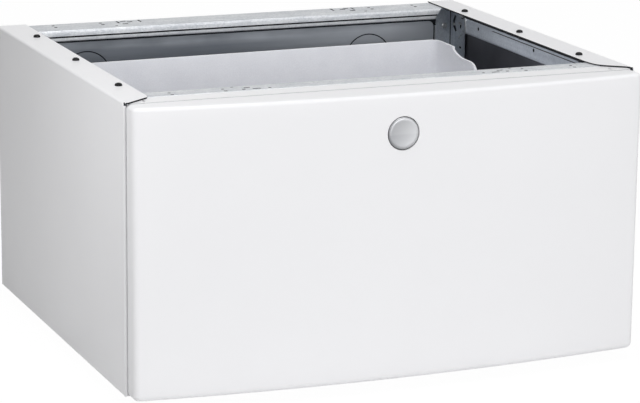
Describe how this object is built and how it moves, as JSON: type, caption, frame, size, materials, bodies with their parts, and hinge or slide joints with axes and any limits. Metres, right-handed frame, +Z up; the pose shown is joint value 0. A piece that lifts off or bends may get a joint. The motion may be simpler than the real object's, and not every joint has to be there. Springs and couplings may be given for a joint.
{
  "type": "washer pedestal drawer",
  "caption": "Laundry machine pedestal: a white sheet-steel cabinet with an open top frame and a bowed push-button drawer holding a plastic bin.",
  "frame": {"origin": "floor level under the middle of the pedestal's whole outline, drawer front and button included", "axes": "+X to the right as seen from the front, +Y to the rear, +Z up"},
  "size_m": [0.6858, 0.6044, 0.381],
  "materials": {
    "white_paint": "satin white enamel on sheet steel",
    "galvanised": "bare galvanised sheet steel with faint spangle",
    "rear_sheet": "dark blue-grey coated sheet steel",
    "zinc": "bright zinc plate",
    "bin_plastic": "fine-grained light grey moulded plastic",
    "rubber": "matt black rubber",
    "dark_plastic": "matt dark grey moulded plastic",
    "button_metal": "satin silver, dished face, bare of any mark"
  },
  "bodies": {
    "cabinet": {"side_panel_left": "white_paint", "side_panel_right": "white_paint", "rear_panel": "rear_sheet", "front_trim": "white_paint", "front_rail": "galvanised", "rear_rail": "galvanised", "side_rail_left": "galvanised", "side_rail_right": "galvanised", "captive_nut_1_left": "zinc", "captive_nut_1_right": "zinc", "captive_nut_2_left": "zinc", "captive_nut_2_right": "zinc", "captive_nut_3_left": "zinc", "captive_nut_3_right": "zinc", "rear_post_left": "galvanised", "rear_post_right": "galvanised", "front_post_left": "galvanised", "front_post_right": "galvanised", "rear_screw_left": "zinc", "rear_screw_right": "zinc", "base_side_rail_left": "galvanised", "base_side_rail_right": "galvanised", "base_front_rail": "galvanised", "base_rear_rail": "galvanised", "front_foot_left": "rubber", "front_foot_right": "rubber", "rear_foot_left": "rubber", "rear_foot_right": "rubber", "front_foot_nut_left": "zinc", "front_foot_nut_right": "zinc", "rear_foot_nut_left": "zinc", "rear_foot_nut_right": "zinc", "slide_support_left": "galvanised", "slide_support_right": "galvanised", "outer_slide_left": "zinc", "outer_slide_right": "zinc", "striker": "zinc"},
    "middle_member_left": {"middle_slide_left": "zinc"},
    "middle_member_right": {"middle_slide_right": "zinc"},
    "drawer": {"inner_slide_left": "zinc", "inner_slide_right": "zinc", "drawer_front": "white_paint", "inner_panel": "white_paint", "lower_bumper_left": "rubber", "lower_bumper_right": "rubber", "upper_bumper_left": "rubber", "upper_bumper_right": "rubber", "drawer_rail_left": "galvanised", "drawer_rail_right": "galvanised", "bin": "bin_plastic", "latch_housing": "dark_plastic", "lever_pin": "zinc"},
    "button": {"latch_button": "button_metal"},
    "lever": {"latch_lever": "zinc"}
  },
  "joints": [
    {"name": "drawer_slide", "type": "slide", "parent": "cabinet", "child": "drawer", "axis": [0, -1, 0], "range_m": [0, 0.4]},
    {"name": "middle_slide_left_run", "type": "slide", "parent": "cabinet", "child": "middle_member_left", "axis": [0, -1, 0], "range_m": [0, 0.2]},
    {"name": "middle_slide_right_run", "type": "slide", "parent": "cabinet", "child": "middle_member_right", "axis": [0, -1, 0], "range_m": [0, 0.2]},
    {"name": "button_press", "type": "slide", "parent": "drawer", "child": "button", "axis": [0, 1, 0], "range_m": [0, 0.003], "stiffness_N_per_m": 400},
    {"name": "lever_pivot", "type": "hinge", "parent": "drawer", "child": "lever", "pos_m": [0, -0.27275, 0.312], "axis": [1, 0, 0], "range_deg": [-8, 0]}
  ],
  "couplings": [
    {"joint": "middle_slide_left_run", "follows": "drawer_slide", "ratio": 0.5},
    {"joint": "middle_slide_right_run", "follows": "drawer_slide", "ratio": 0.5},
    {"joint": "lever_pivot", "follows": "button_press", "rad_per_m": -46.5}
  ]
}
